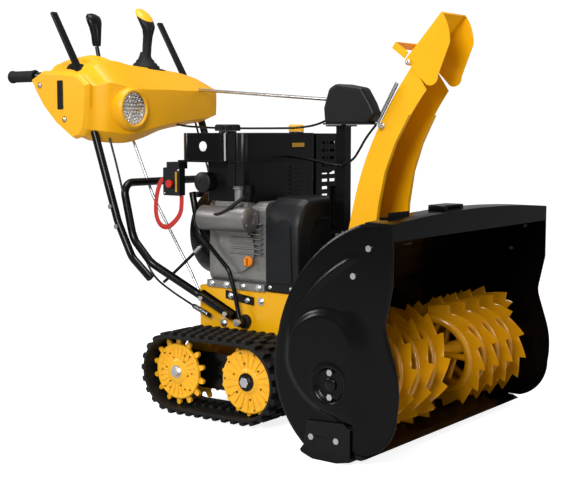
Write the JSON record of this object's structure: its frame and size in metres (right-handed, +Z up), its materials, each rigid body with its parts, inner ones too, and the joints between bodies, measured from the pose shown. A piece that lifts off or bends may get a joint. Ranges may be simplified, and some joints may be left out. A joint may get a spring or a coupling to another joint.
{
  "type": "two stage snowblower",
  "caption": "Walk-behind snow thrower on rubber tracks with a wide auger housing, turning chute with tilting hood, engine, and handles with a control dash.",
  "frame": {"origin": "on the ground at the middle of the machine's footprint", "axes": "+Z up, -Y towards the auger mouth at the front, +Y towards the grips, -X the operator's right"},
  "size_m": [0.783, 1.406, 1.087],
  "materials": {
    "yellow_paint": "semi-gloss powder coat",
    "auger_paint": "glossy paint",
    "black_paint": "satin powder coat",
    "gloss_black_paint": "gloss paint",
    "zinc": "zinc plated",
    "bare_steel": "oiled steel",
    "cast_iron": "painted casting",
    "cast_aluminium": "sand cast",
    "black_plastic": "fine grained",
    "gloss_plastic": "moulded",
    "yellow_plastic": "moulded",
    "orange_plastic": "moulded",
    "red_plastic": "moulded",
    "red_webbing": "woven",
    "rubber": "matt",
    "lamp": "clear lens over a reflector"
  },
  "bodies": {
    "machine": {"auger_housing": "gloss_black_paint", "side_plates": "gloss_black_paint", "fasteners": "zinc", "bearings": "bare_steel", "scraper_bar": "black_paint", "skid_shoes": "black_paint", "gear_case": "auger_paint", "drive_belt": "rubber", "hood_cable_end": "rubber", "chute_cables": "rubber", "control_post": "black_paint", "control_head": "black_plastic", "chassis": "yellow_paint", "idler_pins": "zinc", "track_frames": "black_paint", "track_belts": "rubber", "engine_block": "cast_aluminium", "recoil_housing": "gloss_black_paint", "starter_motor": "cast_aluminium", "fuel_tank": "gloss_black_paint", "engine_shroud": "gloss_plastic", "muffler": "black_paint", "ignition_box": "black_plastic", "belt_cover": "black_plastic", "handle_hoop": "black_paint", "upper_handles": "black_paint", "grips": "rubber", "dash_panel": "yellow_plastic", "headlight": "lamp", "clutch_cables": "rubber", "lanyard": "red_webbing"},
    "auger": {"auger_shaft": "bare_steel", "auger_flight_right": "auger_paint", "auger_flight_left": "auger_paint", "shear_pins": "zinc"},
    "impeller_set": {"impeller_shaft": "bare_steel", "impeller": "black_paint", "impeller_pulley": "cast_iron"},
    "crank": {"engine_pulley": "cast_iron"},
    "chute": {"chute_channel": "yellow_paint", "chute_ring": "black_plastic", "hood_spring": "black_paint"},
    "hood": {"deflector": "yellow_paint", "hood_handle": "yellow_paint"},
    "pinion": {"chute_pinion": "bare_steel"},
    "chute_turning_rod": {"chute_rod": "zinc"},
    "stick_ring": {"joystick_gimbal": "black_paint"},
    "stick": {"joystick": "black_plastic"},
    "drive_axle": {"track_axle": "zinc", "drive_sprockets": "yellow_plastic"},
    "idlers": {"idler_wheels": "yellow_plastic"},
    "drive_clutch_lever": {"clutch_lever_right": "black_paint"},
    "auger_clutch_lever": {"clutch_lever_left": "black_paint"},
    "gear_lever": {"shift_lever": "gloss_plastic"},
    "gear_rod": {"shift_rod": "zinc"},
    "tank_cap": {"fuel_cap": "black_plastic"},
    "choke": {"choke_knob": "yellow_plastic"},
    "oil_filler_cap": {"oil_cap": "orange_plastic"},
    "kill_button": {"stop_button": "red_plastic"},
    "track_height_lever": {"height_lever": "black_paint"}
  },
  "joints": [
    {"name": "auger_spin", "type": "hinge", "parent": "machine", "child": "auger", "pos_m": [0, -0.526, 0.176], "axis": [1, 0, 0], "continuous": true},
    {"name": "impeller_spin", "type": "hinge", "parent": "machine", "child": "impeller_set", "pos_m": [0, -0.395, 0.205], "axis": [0, 1, 0], "continuous": true},
    {"name": "crank_spin", "type": "hinge", "parent": "machine", "child": "crank", "pos_m": [0, -0.2, 0.463], "axis": [0, 1, 0], "continuous": true},
    {"name": "chute_turn", "type": "hinge", "parent": "machine", "child": "chute", "pos_m": [0, -0.395, 0.466], "axis": [0, 0, 1], "range_deg": [-100, 100], "deforming": ["hood_cable_end"]},
    {"name": "hood_tilt", "type": "hinge", "parent": "chute", "child": "hood", "pos_m": [0, -0.524, 0.905], "axis": [1, 0, 0], "range_deg": [0, 50]},
    {"name": "pinion_spin", "type": "hinge", "parent": "machine", "child": "pinion", "pos_m": [0.01997, -0.28175, 0.466], "axis": [0, 0, 1], "range_deg": [-600, 600]},
    {"name": "turning_rod_spin", "type": "hinge", "parent": "machine", "child": "chute_turning_rod", "pos_m": [0.01997, -0.268, 0.82], "axis": [0.207, 0.976, 0.0669], "range_deg": [-600, 600]},
    {"name": "stick_side_tilt", "type": "hinge", "parent": "machine", "child": "stick_ring", "pos_m": [0.04, 0.448, 0.868], "axis": [0, 1, 0], "range_deg": [-21, 21]},
    {"name": "stick_fore_tilt", "type": "hinge", "parent": "stick_ring", "child": "stick", "pos_m": [0.04, 0.448, 0.868], "axis": [1, 0, 0], "range_deg": [-2, 21]},
    {"name": "axle_spin", "type": "hinge", "parent": "machine", "child": "drive_axle", "pos_m": [0, 0.061, 0.109], "axis": [1, 0, 0], "continuous": true},
    {"name": "idler_spin", "type": "hinge", "parent": "machine", "child": "idlers", "pos_m": [0, -0.178, 0.113], "axis": [1, 0, 0], "continuous": true},
    {"name": "drive_lever_squeeze", "type": "hinge", "parent": "machine", "child": "drive_clutch_lever", "pos_m": [-0.217, 0.44, 0.884], "axis": [1, 0, 0], "range_deg": [-50, 0], "stiffness_Nm_per_rad": 2, "springref_deg": 20.05},
    {"name": "auger_lever_squeeze", "type": "hinge", "parent": "machine", "child": "auger_clutch_lever", "pos_m": [0.217, 0.44, 0.884], "axis": [1, 0, 0], "range_deg": [-50, 0], "stiffness_Nm_per_rad": 2, "springref_deg": 20.05},
    {"name": "gear_lever_shift", "type": "hinge", "parent": "machine", "child": "gear_lever", "pos_m": [-0.1, 0.462, 0.812], "axis": [1, 0, 0], "range_deg": [-15, 15]},
    {"name": "gear_rod_slide", "type": "slide", "parent": "machine", "child": "gear_rod", "axis": [0, 0.5686, 0.8226], "range_m": [-0.012, 0.012]},
    {"name": "tank_cap_turn", "type": "hinge", "parent": "machine", "child": "tank_cap", "pos_m": [-0.06, 0.044, 0.74], "axis": [0, 0, 1], "continuous": true},
    {"name": "choke_turn", "type": "hinge", "parent": "machine", "child": "choke", "pos_m": [0.095, -0.072, 0.738], "axis": [0, 0, 1], "range_deg": [0, 90]},
    {"name": "oil_cap_turn", "type": "hinge", "parent": "machine", "child": "oil_filler_cap", "pos_m": [-0.128, -0.084, 0.4], "axis": [1, 0, 0], "continuous": true},
    {"name": "kill_button_press", "type": "slide", "parent": "machine", "child": "kill_button", "axis": [1, 0, 0], "range_m": [0, 0.004], "stiffness_N_per_m": 400, "springref_m": -0.002},
    {"name": "height_lever_swing", "type": "hinge", "parent": "machine", "child": "track_height_lever", "pos_m": [-0.15, -0.072, 0.24], "axis": [1, 0, 0], "range_deg": [-7, 3]}
  ],
  "couplings": [
    {"joint": "impeller_spin", "follows": "auger_spin", "ratio": -10},
    {"joint": "pinion_spin", "follows": "chute_turn", "ratio": -5.5714},
    {"joint": "turning_rod_spin", "follows": "chute_turn", "ratio": 5.5714},
    {"joint": "stick_side_tilt", "follows": "chute_turn", "ratio": 0.2},
    {"joint": "stick_fore_tilt", "follows": "hood_tilt", "ratio": 0.4},
    {"joint": "idler_spin", "follows": "axle_spin", "ratio": 1},
    {"joint": "gear_rod_slide", "follows": "gear_lever_shift", "m_per_rad": 0.04}
  ]
}
